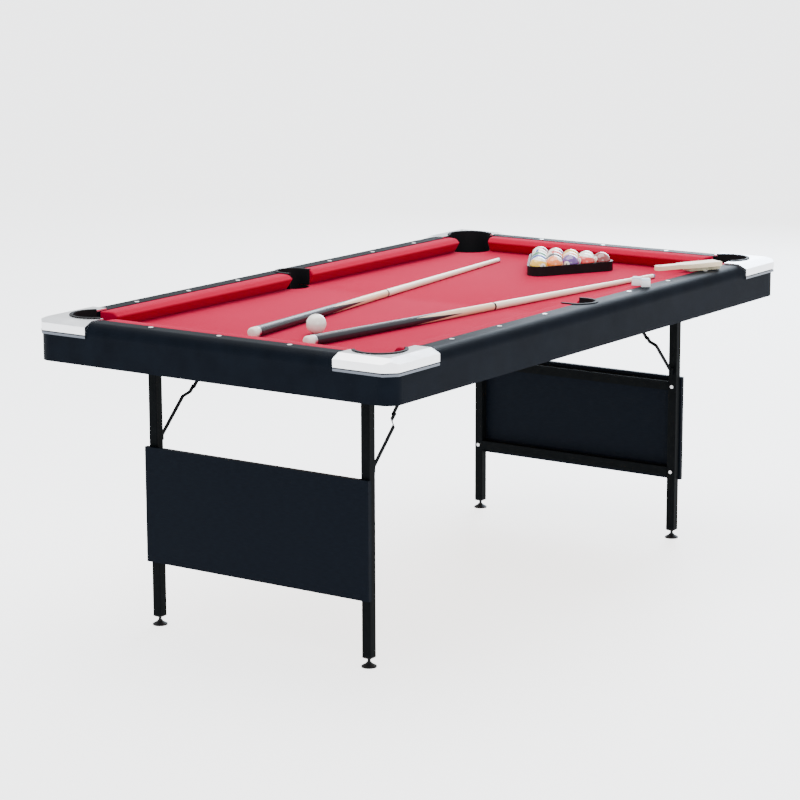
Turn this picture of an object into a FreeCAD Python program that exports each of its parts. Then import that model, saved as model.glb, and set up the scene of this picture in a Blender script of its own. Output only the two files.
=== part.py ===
import FreeCAD, Part
import math
import os
import Sketcher

# Folding pool table with its playing set.
# Frame: origin on the floor under the middle of the bed, +Z up, +X along the table to the far
# end, +Y to the left side. Lengths are in millimetres.

doc = FreeCAD.newDocument("pool_table")
sheet = doc.addObject("Spreadsheet::Sheet", "sizes")


class Size:
    """A length or angle: its number now, and the same thing as text that follows the sheet."""

    def __init__(self, text, value):
        self.text = text
        self.value = value

    def __add__(self, other):
        other = sized(other)
        return Size(f"({self.text} + {other.text})", self.value + other.value)

    def __sub__(self, other):
        other = sized(other)
        return Size(f"({self.text} - {other.text})", self.value - other.value)

    def __mul__(self, other):
        other = sized(other)
        return Size(f"({self.text} * {other.text})", self.value * other.value)

    def __truediv__(self, other):
        other = sized(other)
        return Size(f"({self.text} / {other.text})", self.value / other.value)

    def __neg__(self):
        return Size(f"(0 - {self.text})", -self.value)

    def __rsub__(self, other):
        return sized(other) - self

    __radd__ = __add__
    __rmul__ = __mul__


def sized(number):
    """The same value as a Size, so plain numbers and sizes mix."""
    return number if isinstance(number, Size) else Size(repr(number), number)


def root(size):
    return Size(f"sqrt({size.text})", math.sqrt(size.value))


def slope_angle(rise, run):
    """The angle whose tangent is rise over run, in degrees."""
    return Size(f"atan({(rise / run).text})", math.degrees(math.atan2(rise.value, run.value)))


def cell(alias, number):
    """One driving dimension, kept in the sheet under its own name."""
    cell.row += 1
    sheet.set(f"A{cell.row}", alias)
    sheet.set(f"B{cell.row}", str(number))
    sheet.setAlias(f"B{cell.row}", alias)
    return Size(f"sizes.{alias}", float(number))


cell.row = 0

# ---------------------------------------------------------------- driving dimensions
play_length = cell("play_length", 1676)          # cushion nose to cushion nose
play_width = cell("play_width", 838)
rail_top = cell("rail_top", 800)                 # above the floor
rail_reach = cell("rail_reach", 115)             # nose to the outer face
cushion_reach = cell("cushion_reach", 49)        # nose to the seam with the rail
apron_height = cell("apron_height", 104)
apron_wall = cell("apron_wall", 15)
edge_round = cell("edge_round", 30)              # top outer edge of the rails
corner_round = cell("corner_round", 40)          # plan radius of the table's corners
corner_block_side = cell("corner_block_side", 70)
cushion_rise = cell("cushion_rise", 42)          # cloth to the top of the rails
cloth_thick = cell("cloth_thick", 1)
board_thick = cell("board_thick", 12)
board_gap = cell("board_gap", 3)                 # between the board's edge and the apron

cap_thick = cell("cap_thick", 4)
cap_long_arm = cell("cap_long_arm", 190)         # along the side rails, from the outer face
cap_short_arm = cell("cap_short_arm", 162)       # along the end rails
cap_skirt = cell("cap_skirt", 36)                # how far it comes down the outer face
cap_bevel_in = cell("cap_bevel_in", 25)          # the wide bevel round the top
cap_bevel_drop = cell("cap_bevel_drop", 12)
cap_facet = cell("cap_facet", 27)                # the facet across the corner
cap_band = cell("cap_band", 6)                   # plain band below the groove
cap_groove = cell("cap_groove", 2.5)
cap_groove_deep = cell("cap_groove_deep", 2.2)
cap_notch = cell("cap_notch", 2.2)               # round notch at each end of the facet

nose_drop = cell("nose_drop", 9)                 # rail top to the cushion's nose
nose_face = cell("nose_face", 7)                 # height of the upright face at the nose
cushion_foot = cell("cushion_foot", 20)          # how far the foot is set back
nose_round = cell("nose_round", 4)
jaw_gap = cell("jaw_gap", 10)                    # pocket's edge to the cushion's end at the seam
jaw_flare = cell("jaw_flare", 12)                # how much further back the cushion's nose ends
side_jaw_gap = cell("side_jaw_gap", 0.6)
side_jaw_flare = cell("side_jaw_flare", 2)
soft_gap = cell("soft_gap", 0.4)                 # clearance round a soft piece

corner_pocket_round = cell("corner_pocket_round", 61.5)
corner_pocket_out = cell("corner_pocket_out", 10)
side_pocket_round = cell("side_pocket_round", 45)
side_pocket_out = cell("side_pocket_out", 36)
pocket_wall = cell("pocket_wall", 3)
pocket_floor = cell("pocket_floor", 5)           # bottom of the cup above the apron's edge
pocket_gap = cell("pocket_gap", 0.5)

sight_round = cell("sight_round", 6)
sight_thick = cell("sight_thick", 0.8)
sight_out = cell("sight_out", 63)                # nose to the middle of a sight

leg_inset_x = cell("leg_inset_x", 87)            # end nose to the middle of a leg
leg_inset_y = cell("leg_inset_y", 94)
leg_side = cell("leg_side", 25)
leg_wall = cell("leg_wall", 1.5)
leg_foot_gap = cell("leg_foot_gap", 26)          # floor to the end of the tube
leg_over_pin = cell("leg_over_pin", 14)          # tube above the hinge rod
leg_edge = cell("leg_edge", 2.1)                 # round on the tube's edges
rod_round = cell("rod_round", 4)
running_gap = cell("running_gap", 0.05)
bracket_plate = cell("bracket_plate", 3)
bracket_gap = cell("bracket_gap", 1)             # between an ear and the leg
bracket_run = cell("bracket_run", 36)            # length along the table
bracket_tongue = cell("bracket_tongue", 12)      # ear below the hinge rod
tongue_round = cell("tongue_round", 0.9)         # its end's round, as a share of it

cross_deep = cell("cross_deep", 25)
cross_low = cell("cross_low", 182)               # underside of the lower cross tube
cross_high = cell("cross_high", 430)
panel_low = cell("panel_low", 169)
panel_high = cell("panel_high", 466)
panel_thick = cell("panel_thick", 12)
panel_over = cell("panel_over", 5)               # past the leg on each side
bolt_round = cell("bolt_round", 2.5)
bolt_head = cell("bolt_head", 5)
bolt_head_high = cell("bolt_head_high", 2.5)
bolt_bite = cell("bolt_bite", 8)
screw_head = cell("screw_head", 4)
screw_head_high = cell("screw_head_high", 2)

brace_drop = cell("brace_drop", 231)             # hinge to the stay's pivot on the leg
hanger_reach = cell("hanger_reach", 273)         # hinge to the stay's pivot on the bed
bar_width = cell("bar_width", 10)
bar_thick = cell("bar_thick", 3)
jog_past = cell("jog_past", 2)                   # the lower bar's inner end to the leg's side face
jog_start = cell("jog_start", 34)                # before the middle pivot
jog_end = cell("jog_end", 18)
link_gap = cell("link_gap", 0.4)
eye_round = cell("eye_round", 0.98)              # a bar's end round, as a share of half its width
pin_round = cell("pin_round", 2.5)
ear_thick = cell("ear_thick", 2)
ear_gap = cell("ear_gap", 0.5)
rivet_head = cell("rivet_head", 4)
rivet_head_high = cell("rivet_head_high", 1.4)
hanger_plate = cell("hanger_plate", 1.5)
hanger_gap = cell("hanger_gap", 0.5)             # the stay's top edge to the hanger
hanger_run = cell("hanger_run", 24)

foot_round = cell("foot_round", 19)
foot_rim = cell("foot_rim", 3)
foot_cone = cell("foot_cone", 9)
foot_hub = cell("foot_hub", 3)                   # hub's wall round the stem
foot_hub_edge = cell("foot_hub_edge", 2)
stem_round = cell("stem_round", 4)
stem_top = cell("stem_top", 54)
plug_neck = cell("plug_neck", 4)                 # flange under the tube
plug_taper = cell("plug_taper", 3)
plug_depth = cell("plug_depth", 30)
plug_gap = cell("plug_gap", 0.2)

bearer_wide = cell("bearer_wide", 24)
bearer_deep = cell("bearer_deep", 45)
bearer_gap = cell("bearer_gap", 4.5)             # folded panel to the long bearers
bearer_past = cell("bearer_past", 21)            # long bearers past the middle of the legs
end_bearer_gap = cell("end_bearer_gap", 28)      # long bearers' ends to the end bearers

ball_round = cell("ball_round", 25.4)
ball_gap = cell("ball_gap", 0.1)
rack_gap = cell("rack_gap", 0.6)
rack_wall = cell("rack_wall", 6)
rack_height = cell("rack_height", 27)
rack_inset = cell("rack_inset", 292)             # end nose to the first ball of the triangle
rack_y = cell("rack_y", 2)
cue_ball_inset = cell("cue_ball_inset", 272)
cue_ball_y = cell("cue_ball_y", -40)

cue_length = cell("cue_length", 1410)
cue_joint = cell("cue_joint", 706)               # butt end to the joint
cue_butt_round = cell("cue_butt_round", 14)
cue_tip_round = cell("cue_tip_round", 6)
cue_edge = cell("cue_edge", 2)                   # bevel across each end
cue_edge_long = cell("cue_edge_long", 3)
cue_turn = cell("cue_turn", 7)                   # degrees, one cue each way
cue_left_inset = cell("cue_left_inset", 131)     # near nose to the butt's end
cue_left_y = cell("cue_left_y", 54)
cue_right_inset = cell("cue_right_inset", 112)
cue_right_y = cell("cue_right_y", -126)
rest_gap = cell("rest_gap", 0.2)                 # under what lies loose on the table

chalk_side = cell("chalk_side", 22)
chalk_past = cell("chalk_past", 90.5)            # first far sight to the first cube
chalk_out = cell("chalk_out", 61)                # right nose to the first cube
chalk_pitch = cell("chalk_pitch", 10)            # first cube to the second, along the table
chalk_step = cell("chalk_step", 32)              # and across it
chalk_turn = cell("chalk_turn", 38)
chalk_turn_step = cell("chalk_turn_step", 20)
brush_length = cell("brush_length", 205)
brush_head = cell("brush_head", 44)              # width over the bristles
brush_grip = cell("brush_grip", 26)              # width of the handle
brush_neck = cell("brush_neck", 70)              # handle end to where it starts to widen
brush_shoulder = cell("brush_shoulder", 100)     # handle end to the full width
brush_thick = cell("brush_thick", 12)
brush_hole = cell("brush_hole", 5)
brush_hole_in = cell("brush_hole_in", 15)
brush_end_round = cell("brush_end_round", 9.1)
bristle_height = cell("bristle_height", 9)
bristle_inset = cell("bristle_inset", 3)
brush_inset_x = cell("brush_inset_x", 336)       # far nose to the middle of the handle's end
brush_inset_y = cell("brush_inset_y", 21)
brush_turn = cell("brush_turn", -26)

# ---------------------------------------------------------------- places worked out from them
half_length = play_length / 2 + rail_reach
half_width = play_width / 2 + rail_reach
apron_foot = rail_top - apron_height
cloth_top = rail_top - cushion_rise
board_top = cloth_top - cloth_thick
board_foot = board_top - board_thick
nose_x = play_length / 2
nose_y = play_width / 2
seam_x = nose_x + cushion_reach
seam_y = nose_y + cushion_reach
leg_x = nose_x - leg_inset_x
leg_y = nose_y - leg_inset_y
corner_pocket_x = nose_x + corner_pocket_out
corner_pocket_y = nose_y + corner_pocket_out
side_pocket_y = nose_y + side_pocket_out
half_leg = leg_side / 2
brace_offset = half_leg + ear_thick + ear_gap + bar_width / 2   # stay's pivot to the middle of the leg
hinge_z = board_foot - hanger_plate - hanger_gap - bar_width / 2 - brace_offset
leg_outer_x = leg_x + half_leg
panel_half_width = leg_y + half_leg + panel_over
bearer_y = panel_half_width + bearer_gap
bearer_reach = leg_x + bearer_past
end_bearer_x = bearer_reach + end_bearer_gap


def chord(radius, out):
    """Half the width of a round pocket at that distance from its middle."""
    return root(radius * radius - out * out)


# A cushion's seam end stands clear of the pocket, and its nose ends further back.
jaw_seam = chord(corner_pocket_round, cushion_reach - corner_pocket_out) - corner_pocket_out + jaw_gap
jaw_nose = jaw_seam + jaw_flare
side_jaw_seam = side_pocket_round + side_jaw_gap
side_jaw_nose = side_jaw_seam + side_jaw_flare

# The stay is straight when the leg is down. When the leg is folded both bars lie flat in line,
# so their sum is the open length and their difference is what the two pivots are apart then.
brace_rise = brace_drop + brace_offset
brace_run = hanger_reach - brace_offset
brace_open = root(brace_run * brace_run + brace_rise * brace_rise)
brace_folded = hanger_reach - brace_drop
upper_length = (brace_open + brace_folded) / 2
lower_length = (brace_open - brace_folded) / 2
brace_angle = slope_angle(brace_rise, brace_run)
brace_foot_x = leg_x - brace_offset
brace_foot_z = hinge_z - brace_drop
hanger_x = leg_x - hanger_reach
hanger_z = hinge_z + brace_offset
cue_joint_round = cue_butt_round - (cue_butt_round - cue_tip_round) * cue_joint / cue_length
jog_side = half_leg + jog_past
lower_end_y = leg_y - jog_side
upper_y = lower_end_y - bar_thick - link_gap


# ---------------------------------------------------------------- building blocks
def bind(thing, prop, size):
    thing.setExpression(prop, sized(size).text)


def place(thing, x=0, y=0, z=0):
    for axis, size in (("x", x), ("y", y), ("z", z)):
        bind(thing, f"Placement.Base.{axis}", size)


def box(label, low, high):
    thing = doc.addObject("Part::Box", label)
    for prop, a, b in zip(("Length", "Width", "Height"), low, high):
        bind(thing, prop, sized(b) - a)
    place(thing, *low)
    return thing


def cylinder(label, radius, height, foot, along="z"):
    """A cylinder that starts at foot and runs along +Z, +X or +Y."""
    thing = doc.addObject("Part::Cylinder", label)
    bind(thing, "Radius", radius)
    bind(thing, "Height", height)
    turn = {"z": ((0, 0, 1), 0), "x": ((0, 1, 0), 90), "y": ((1, 0, 0), -90)}[along]
    thing.Placement = FreeCAD.Placement(FreeCAD.Vector(), FreeCAD.Rotation(FreeCAD.Vector(*turn[0]), turn[1]))
    place(thing, *foot)
    return thing


def cut(label, base, tools):
    thing = doc.addObject("Part::Cut", label)
    thing.Base = base
    thing.Tool = tools[0] if len(tools) == 1 else fuse(label + "_tools", tools)
    return thing


def fuse(label, parts):
    thing = doc.addObject("Part::MultiFuse", label)
    thing.Shapes = parts
    return thing


def common(label, one, other):
    thing = doc.addObject("Part::MultiCommon", label)
    thing.Shapes = [one, other]
    return thing


def mirror(label, source, normal):
    thing = doc.addObject("Part::Mirroring", label)
    thing.Source = source
    thing.Normal = normal
    return thing


def group(label, parts):
    thing = doc.addObject("Part::Compound", label)
    thing.Links = parts
    return thing


ACROSS_X = (1, 0, 0)
ACROSS_Y = (0, 1, 0)


def plane_of(body, role):
    return next(f for f in body.Origin.OriginFeatures if f.Role == role)


def sketch_on(body, role):
    sketch = body.newObject("Sketcher::SketchObject", body.Label + "_sketch")
    sketch.AttachmentSupport = [(plane_of(body, role), "")]
    sketch.MapMode = "FlatFace"
    return sketch


def hold(sketch, geometry, point, x, y):
    """Tie one point of a sketch to the sheet."""
    for kind, axis, size in (("DistanceX", -2, x), ("DistanceY", -1, y)):
        size = sized(size)
        if size.value == 0:
            sketch.addConstraint(Sketcher.Constraint("PointOnObject", geometry, point, axis))
            continue
        index = sketch.addConstraint(Sketcher.Constraint(kind, -1, 1, geometry, point, size.value))
        sketch.setExpression(f"Constraints[{index}]", size.text)


def draw_outline(sketch, corners):
    """A closed outline of straight lines with every corner tied to the sheet."""
    spots = [FreeCAD.Vector(sized(x).value, sized(y).value, 0) for x, y in corners]
    first = None
    for number, start in enumerate(spots):
        end = spots[(number + 1) % len(spots)]
        line = sketch.addGeometry(Part.LineSegment(start, end), False)
        first = line if first is None else first
        hold(sketch, line, 1, *corners[number])
    for number in range(len(spots)):
        follower = first + (number + 1) % len(spots)
        sketch.addConstraint(Sketcher.Constraint("Coincident", first + number, 2, follower, 1))


def draw_circle(sketch, x, y, radius):
    spot = FreeCAD.Vector(sized(x).value, sized(y).value, 0)
    ring = sketch.addGeometry(Part.Circle(spot, FreeCAD.Vector(0, 0, 1), sized(radius).value), False)
    hold(sketch, ring, 3, x, y)
    index = sketch.addConstraint(Sketcher.Constraint("Radius", ring, sized(radius).value))
    sketch.setExpression(f"Constraints[{index}]", sized(radius).text)


def prism(label, role, corners, depth, centred=False):
    """A body padded from an outline on one of its origin planes."""
    body = doc.addObject("PartDesign::Body", label)
    sketch = sketch_on(body, role)
    draw_outline(sketch, corners)
    pad = body.newObject("PartDesign::Pad", label + "_pad")
    pad.Profile = sketch
    bind(pad, "Length", depth)
    pad.Midplane = centred
    doc.recompute()
    return body


def turned(label, corners):
    """A body turned about its own Z axis from an outline of radius and height."""
    body = doc.addObject("PartDesign::Body", label)
    sketch = sketch_on(body, "XZ_Plane")
    draw_outline(sketch, corners)
    revolution = body.newObject("PartDesign::Revolution", label + "_turn")
    revolution.Profile = sketch
    revolution.ReferenceAxis = (sketch, ["V_Axis"])
    revolution.Angle = 360
    doc.recompute()
    return body


def bored(body, role, circles):
    """Round holes right through a body, both ways from one of its origin planes."""
    sketch = sketch_on(body, role)
    for circle in circles:
        draw_circle(sketch, *circle)
    pocket = body.newObject("PartDesign::Pocket", body.Label + "_bore")
    pocket.Profile = sketch
    pocket.Type = "ThroughAll"
    pocket.Midplane = True
    doc.recompute()
    return body


def rounded(body, radius, wanted):
    """Fillet the edges that the test picks."""
    base = body.Tip
    edges = [f"Edge{n}" for n, edge in enumerate(base.Shape.Edges, 1) if wanted(edge)]
    fillet = body.newObject("PartDesign::Fillet", body.Label + "_round")
    fillet.Base = (base, edges)
    bind(fillet, "Radius", radius)
    body.Tip = fillet
    doc.recompute()
    return body


def bevelled(body, size, wanted):
    """Chamfer the edges that the test picks."""
    base = body.Tip
    edges = [f"Edge{n}" for n, edge in enumerate(base.Shape.Edges, 1) if wanted(edge)]
    chamfer = body.newObject("PartDesign::Chamfer", body.Label + "_bevel")
    chamfer.Base = (base, edges)
    bind(chamfer, "Size", size)
    body.Tip = chamfer
    doc.recompute()
    return body


def runs_along(edge, x, y, z):
    """True for a straight edge in that direction."""
    if len(edge.Vertexes) < 2 or edge.Curve.TypeId != "Part::GeomLine":
        return False
    return edge.Curve.Direction.cross(FreeCAD.Vector(x, y, z)).Length < 1e-6


nodes = []


def keep(thing, label):
    """Make a thing one of the table's own pieces under its own name."""
    thing.Label = label
    nodes.append(thing)
    return thing


def keep_mirrored(source, names):
    """Four pieces from one at the far left: far right, near left, near right."""
    keep(source, names[0])
    keep(mirror(names[1], source, ACROSS_Y), names[1])
    near = keep(mirror(names[2], source, ACROSS_X), names[2])
    keep(mirror(names[3], near, ACROSS_Y), names[3])


def four(name):
    return [f"{name}_far_left", f"{name}_far_right", f"{name}_near_left", f"{name}_near_right"]


def both_sides(label, source):
    """A left piece and its mirror image on the right, as one group."""
    return group(label, [source, mirror(label + "_other", source, ACROSS_Y)])


def far_and_near(part, name):
    """The far frame's piece, and the near frame's as its mirror image."""
    keep(part, "far_" + name)
    keep(mirror("near_" + name, part, ACROSS_X), "near_" + name)


# ---------------------------------------------------------------- rails, corner blocks and caps
def upright(edge):
    return runs_along(edge, 0, 0, 1)


def plain_block(label, x, y, low, high):
    """A block over the middle of the table, from its half sizes and its two heights."""
    block = prism(label, "XY_Plane", [(-x, -y), (x, -y), (x, y), (-x, y)], high - low)
    place(block, 0, 0, low)
    return block


def rail_block(label):
    """The table's outline with rounded corners and a rounded top edge."""
    block = plain_block(label, half_length, half_width, apron_foot, rail_top)
    rounded(block, corner_round, upright)
    top = block.Tip.Shape.BoundBox.ZMax
    return rounded(block, edge_round, lambda edge: edge.BoundBox.ZMin > top - 0.01)


def hipped(reach, low, top):
    """Outline of distance and height with both upper edges bevelled."""
    shoulder = top - cap_bevel_drop
    inner = reach - cap_bevel_in
    return [(-reach, low), (reach, low), (reach, shoulder), (inner, top), (-inner, top), (-reach, shoulder)]


def cap_block(label, grow, low):
    """The caps' outline, that much larger than the table: flat facets and a bevelled top edge."""
    x = half_length + grow
    y = half_width + grow
    top = rail_top + grow
    block = plain_block(label, x, y, low, top)
    bevelled(block, cap_facet, upright)
    across = prism(label + "_across", "YZ_Plane", hipped(y, low, top), x * 2, centred=True)
    along = prism(label + "_along", "XZ_Plane", hipped(x, low, top), y * 2, centred=True)
    return common(label + "_bevelled", block, common(label + "_hips", across, along))


def at_corners(label, low, high):
    """The four regions that the caps' arms reach into."""
    regions = []
    for sx in (-1, 1):
        for sy in (-1, 1):
            x = half_length * sx - cap_long_arm
            y = half_width * sy - cap_short_arm
            regions.append(box(label, (x, y, low), (x + cap_long_arm * 2, y + cap_short_arm * 2, high)))
    return fuse(label + "s", regions)


def pocket_holes(label, grow):
    """The six round holes that the pockets drop into."""
    height = rail_top + cap_thick * 2 - apron_foot
    holes = []
    for sx in (-1, 1):
        for sy in (-1, 1):
            spot = (corner_pocket_x * sx, corner_pocket_y * sy, apron_foot)
            holes.append(cylinder(label + "_corner", corner_pocket_round + grow, height, spot))
    for sy in (-1, 1):
        spot = (0, side_pocket_y * sy, apron_foot)
        holes.append(cylinder(label + "_side", side_pocket_round + grow, height, spot))
    return fuse(label, holes)


def rail_ring():
    """Rails and corners in one ring, before it is sawn into its pieces."""
    blank = rail_block("rail_blank")
    well = box("rail_well", (-seam_x, -seam_y, apron_foot), (seam_x, seam_y, rail_top + 1))
    inner_x = half_length - apron_wall
    inner_y = half_width - apron_wall
    hollow = plain_block("rail_hollow", inner_x, inner_y, apron_foot, cloth_top)
    rounded(hollow, corner_round - apron_wall, upright)
    holes = pocket_holes("rail_pocket_holes", pocket_gap)
    return cut("rail_ring", blank, [well, hollow, holes])


def make_rails():
    ring = rail_ring()
    saw_x = half_length - corner_block_side
    saw_y = half_width - corner_block_side
    low = apron_foot
    high = rail_top + 1
    left = common("left", ring, box("left_saw", (-saw_x, 0, low), (saw_x, half_width, high)))
    keep(left, "side_rail_left")
    keep(mirror("side_rail_right", left, ACROSS_Y), "side_rail_right")
    far = common("far", ring, box("far_saw", (saw_x, -saw_y, low), (half_length, saw_y, high)))
    keep(far, "end_rail_far")
    keep(mirror("end_rail_near", far, ACROSS_X), "end_rail_near")
    saws = []
    for sx in (-1, 1):
        for sy in (-1, 1):
            x = saw_x if sx > 0 else -half_length
            y = saw_y if sy > 0 else -half_width
            corner = (x + corner_block_side, y + corner_block_side, high)
            saws.append(box("corner_saw", (x, y, low), corner))
    keep(common("corner_blocks", ring, fuse("corner_saws", saws)), "corner_blocks")


def make_caps():
    """Bright caps fitted over the corners: a bevelled top, a groove and a plain band below it."""
    skirt = rail_top - cap_skirt
    over = rail_top + cap_thick * 2
    skin = cap_block("cap_skin", cap_thick, skirt)
    whole = common("cap_whole", skin, at_corners("cap_region", skirt, over))
    core = rail_block("cap_core")
    well = box("cap_well", (-seam_x, -seam_y, skirt), (seam_x, seam_y, over))
    groove_low = skirt + cap_band
    groove_high = groove_low + cap_groove
    slice_x = half_length * 2
    slice_y = half_width * 2
    slab = box("cap_slice", (-slice_x, -slice_y, groove_low), (slice_x, slice_y, groove_high))
    groove = cut("cap_groove", slab, [cap_block("cap_groove_core", cap_thick - cap_groove_deep, skirt)])
    notches = []
    for sx in (-1, 1):
        for sy in (-1, 1):
            for in_x, in_y in ((cap_facet, 0), (0, cap_facet)):
                x = (half_length + cap_thick - in_x) * sx
                y = (half_width + cap_thick - in_y) * sy
                spot = (x, y, groove_low)
                notches.append(cylinder("cap_notch", cap_notch, cap_groove * 3, spot))
    holes = pocket_holes("cap_pocket_holes", pocket_gap)
    keep(cut("caps", whole, [core, well, holes, groove, fuse("cap_notches", notches)]), "corner_caps")


def make_sights():
    """Three inlaid spots beside each cushion."""
    x_out = nose_x + sight_out
    y_out = nose_y + sight_out
    long_pitch = play_length / 8
    short_pitch = play_width / 4
    spots = [(long_pitch * n, y_out * side) for n in (-3, -2, -1, 1, 2, 3) for side in (-1, 1)]
    spots += [(x_out * side, short_pitch * n) for n in (-1, 0, 1) for side in (-1, 1)]
    discs = [cylinder("sight", sight_round, sight_thick, (x, y, rail_top)) for x, y in spots]
    keep(group("sights", discs), "rail_sights")


# ---------------------------------------------------------------- cushions
def cushion_section(nose):
    """Outline of distance outwards and height, for a cushion whose nose is at that distance."""
    low = cloth_top + soft_gap
    back = nose + cushion_reach - soft_gap
    high = rail_top - soft_gap
    nose_high = rail_top - nose_drop
    return [(nose + cushion_foot, low), (back, low), (back, high), (nose + nose_drop * 2, high),
            (nose, nose_high), (nose, nose_high - nose_face)]


def make_cushions():
    at_nose = lambda edge: abs(edge.CenterOfMass.z - (rail_top - nose_drop).value) < 0.1
    bar = prism("side_cushion_bar", "YZ_Plane", cushion_section(nose_y), play_length, centred=True)
    rounded(bar, nose_round, at_nose)
    plan = [(side_jaw_nose, nose_y), (nose_x - jaw_nose, nose_y), (nose_x - jaw_seam, seam_y),
            (side_jaw_seam, seam_y)]
    blank = prism("side_cushion_plan", "XY_Plane", plan, rail_top)
    keep_mirrored(common("side_cushion", bar, blank), four("cushion"))

    bar = prism("end_cushion_bar", "XZ_Plane", cushion_section(nose_x), play_width, centred=True)
    rounded(bar, nose_round, at_nose)
    nose_end = nose_y - jaw_nose
    seam_end = nose_y - jaw_seam
    plan = [(nose_x, -nose_end), (seam_x, -seam_end), (seam_x, seam_end), (nose_x, nose_end)]
    blank = prism("end_cushion_plan", "XY_Plane", plan, rail_top)
    far = keep(common("end_cushion", bar, blank), "cushion_far_end")
    keep(mirror("near_cushion", far, ACROSS_X), "cushion_near_end")


# ---------------------------------------------------------------- pockets
def cup(label, radius):
    """An open cup: floor, wall and rim, standing on its own origin."""
    depth = rail_top - apron_foot - pocket_floor
    inside = radius - pocket_wall
    outline = [(0, 0), (radius, 0), (radius, depth), (inside, depth), (inside, pocket_wall), (0, pocket_wall)]
    return turned(label, outline)


def make_pockets():
    """Moulded cups. Over the bed only the wall inside the rail is left, so a ball rolls in."""
    foot = apron_foot + pocket_floor
    corner = cup("corner_cup", corner_pocket_round)
    place(corner, corner_pocket_x, corner_pocket_y, foot)
    reach = corner_pocket_round * 2
    mouth = box("corner_mouth", (corner_pocket_x - reach, corner_pocket_y - reach, board_top),
                (seam_x + soft_gap, seam_y + soft_gap, rail_top + 1))
    keep_mirrored(cut("corner_pocket", corner, [mouth]), four("corner_pocket"))

    side = cup("side_cup", side_pocket_round)
    place(side, 0, side_pocket_y, foot)
    mouth = box("side_mouth", (-reach, side_pocket_y - reach, board_top),
                (reach, seam_y + soft_gap, rail_top + 1))
    left = keep(cut("side_pocket", side, [mouth]), "side_pocket_left")
    keep(mirror("side_pocket_other", left, ACROSS_Y), "side_pocket_right")


# ---------------------------------------------------------------- bed
def bed_sheet(label, low, high, holes):
    """A flat piece over the whole bed with its six pocket holes."""
    margin = apron_wall + board_gap
    blank = plain_block(label + "_blank", half_length - margin, half_width - margin, low, high)
    rounded(blank, corner_round - apron_wall, upright)
    return cut(label + "_cut", blank, [pocket_holes(label + "_holes", pocket_gap)] + holes)


def bracket_screws(label):
    """Shanks of the screws that hold the leg hinges, two to a hinge, up into the board."""
    spread = bracket_run / 2 - bracket_plate * 2
    length = bracket_plate + board_thick / 2
    shanks = []
    for x in (leg_x, -leg_x):
        for y in (leg_y, -leg_y):
            for side in (-1, 1):
                spot = (x + spread * side, y, board_foot - bracket_plate)
                shanks.append(cylinder(label + "_shank", bolt_round, length, spot))
    return group(label, shanks)


def make_bed():
    keep(bed_sheet("board", board_foot, board_top, [bracket_screws("pilot_holes")]), "bed_board")
    keep(bed_sheet("cloth", board_top, cloth_top, []), "bed_cloth")
    low = board_foot - bearer_deep
    half = bearer_wide / 2
    outer = bearer_y + bearer_wide
    bars = [box("long_bearer", (-bearer_reach, bearer_y, low), (bearer_reach, outer, board_foot)),
            box("middle_bearer", (-half, -bearer_y, low), (half, bearer_y, board_foot)),
            box("end_bearer", (end_bearer_x, -bearer_y, low),
                (end_bearer_x + bearer_wide, bearer_y, board_foot))]
    bars.append(mirror("long_bearer_other", bars[0], ACROSS_Y))
    bars.append(mirror("end_bearer_other", bars[2], ACROSS_X))
    keep(group("bearers", bars), "bed_bearers")


# ---------------------------------------------------------------- leg hinges under the bed
def make_hinges():
    inside = half_leg + bracket_gap
    outside = inside + bracket_plate
    low = hinge_z - bracket_tongue
    under = board_foot - bracket_plate
    hat = [(leg_y - outside, low), (leg_y - inside, low), (leg_y - inside, under), (leg_y + inside, under),
           (leg_y + inside, low), (leg_y + outside, low), (leg_y + outside, board_foot),
           (leg_y - outside, board_foot)]
    bracket = prism("hinge_bracket", "YZ_Plane", hat, bracket_run, centred=True)
    rounded(bracket, bracket_tongue * tongue_round,
            lambda edge: runs_along(edge, 0, 1, 0) and edge.BoundBox.ZMax < low.value + 0.01)
    bored(bracket, "XZ_Plane", [(0, hinge_z, rod_round)])
    place(bracket, leg_x, 0, 0)
    pair = both_sides("hinge_bracket_pair", bracket)
    brackets = group("brackets", [pair, mirror("hinge_brackets_near", pair, ACROSS_X)])
    keep(cut("drilled_brackets", brackets, [bracket_screws("bracket_holes")]), "hinge_brackets")

    reach = leg_y + outside
    rod = cylinder("hinge_rod", rod_round, reach * 2, (leg_x, -reach, hinge_z), along="y")
    keep(group("rods", [rod, mirror("hinge_rod_near", rod, ACROSS_X)]), "hinge_rods")

    heads = []
    for shank in bracket_screws("screw_shanks").Links:
        head = doc.addObject("Part::Cylinder", "screw_head")
        bind(head, "Radius", screw_head)
        bind(head, "Height", screw_head_high)
        head.Placement = shank.Placement
        for axis in "xy":
            bind(head, f"Placement.Base.{axis}", Size(f"{shank.Name}.Placement.Base.{axis}", 0))
        bind(head, "Placement.Base.z", board_foot - bracket_plate - screw_head_high)
        heads.append(fuse("screw", [shank, head]))
    keep(group("screws", heads), "bracket_screws")


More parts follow.
